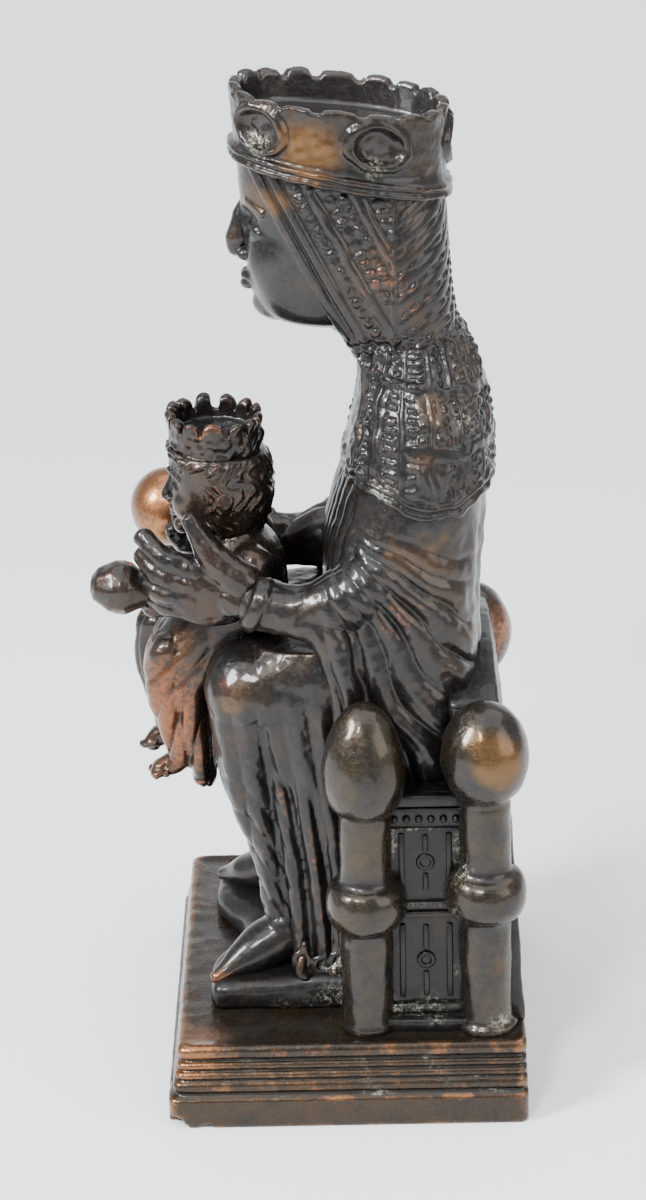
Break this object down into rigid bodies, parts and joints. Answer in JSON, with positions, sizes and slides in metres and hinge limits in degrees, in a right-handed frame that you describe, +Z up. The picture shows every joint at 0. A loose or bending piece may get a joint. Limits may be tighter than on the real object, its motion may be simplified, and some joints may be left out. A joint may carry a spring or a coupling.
{
  "type": "seated virgin and child figurine",
  "caption": "Patinated cast figurine of a crowned Virgin seated on a four-post throne with a crowned Child on the lap, on a moulded plinth",
  "frame": {"origin": "middle of the plinth's flat underside", "axes": "+Z is up from the underside to the crown; the figure faces -Y; its left hand is on +X"},
  "size_m": [0.098, 0.0927, 0.2184],
  "materials": {
    "patinated_copper": "dark gunmetal-brown patina under a glossy lacquer, copper showing on raised and worn places"
  },
  "bodies": {
    "root": {"virgin_and_child_figure": "patinated_copper"}
  },
  "joints": []
}
